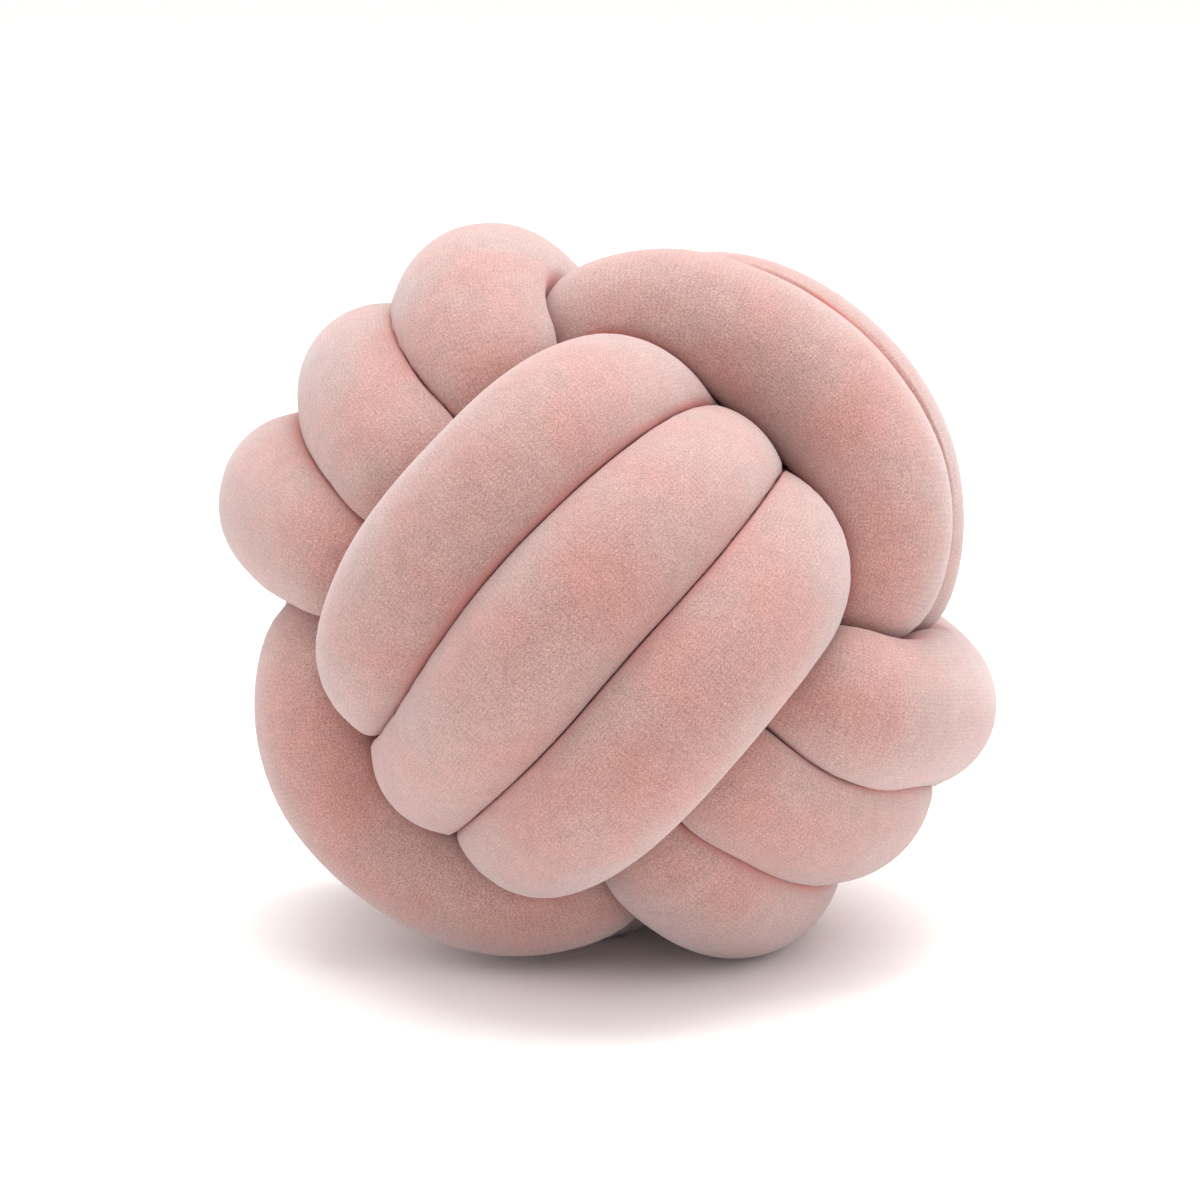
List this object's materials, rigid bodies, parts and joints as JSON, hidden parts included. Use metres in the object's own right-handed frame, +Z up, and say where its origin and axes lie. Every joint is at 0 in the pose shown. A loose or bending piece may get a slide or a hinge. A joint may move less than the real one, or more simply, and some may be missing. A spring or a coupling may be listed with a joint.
{
  "type": "braided round cushion",
  "caption": "Round knot cushion: one long stuffed velvet tube tied into a ball of crossing, tightly packed strands, standing on a small flat spot.",
  "frame": {"origin": "on the surface that the ball stands on, under the middle of its bounding box", "axes": "+Z up; the middle of the front strands faces -Y and a little up; +X to the right as seen from the front"},
  "size_m": [0.2788, 0.2844, 0.2557],
  "materials": {
    "velvet": "blush pink short-pile velvet with a soft sheen and a brushed nap"
  },
  "bodies": {
    "root": {"knot_tube": "velvet"}
  },
  "joints": []
}
